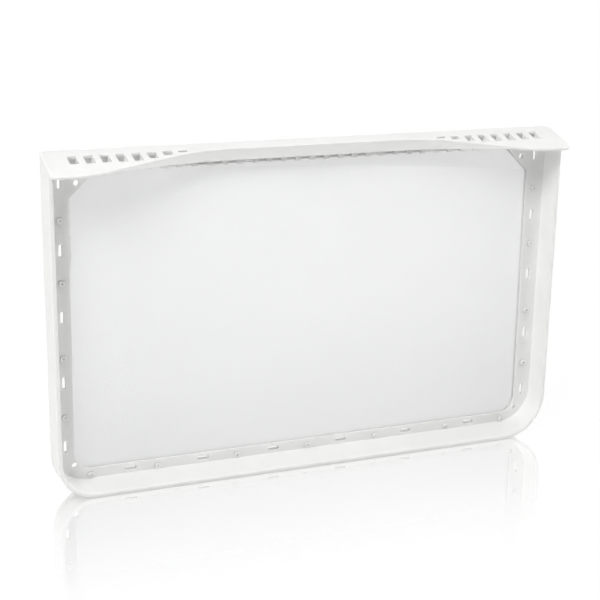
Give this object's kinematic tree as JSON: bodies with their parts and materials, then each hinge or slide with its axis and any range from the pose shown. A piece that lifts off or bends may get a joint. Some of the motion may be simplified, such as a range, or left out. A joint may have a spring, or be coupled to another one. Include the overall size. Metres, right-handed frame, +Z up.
{
  "type": "tumble dryer lint filter",
  "caption": "White plastic lint filter: a shallow tray with a fine mesh in its flanged back, under a sloping slotted handle plate with a finger scoop.",
  "frame": {"origin": "middle of the filter's outline at the level of its bottom edge", "axes": "+X across the filter, +Y from the open side of the tray to the back, +Z up to the handle plate"},
  "size_m": [0.3, 0.0271, 0.1849],
  "materials": {
    "white_plastic": "white moulded plastic with a soft sheen",
    "mesh": "fine woven synthetic mesh, stretched flat"
  },
  "bodies": {
    "root": {"front_frame": "white_plastic", "rear_clamp_frame": "white_plastic", "mesh_screen": "mesh", "top_grille": "white_plastic"}
  },
  "joints": []
}
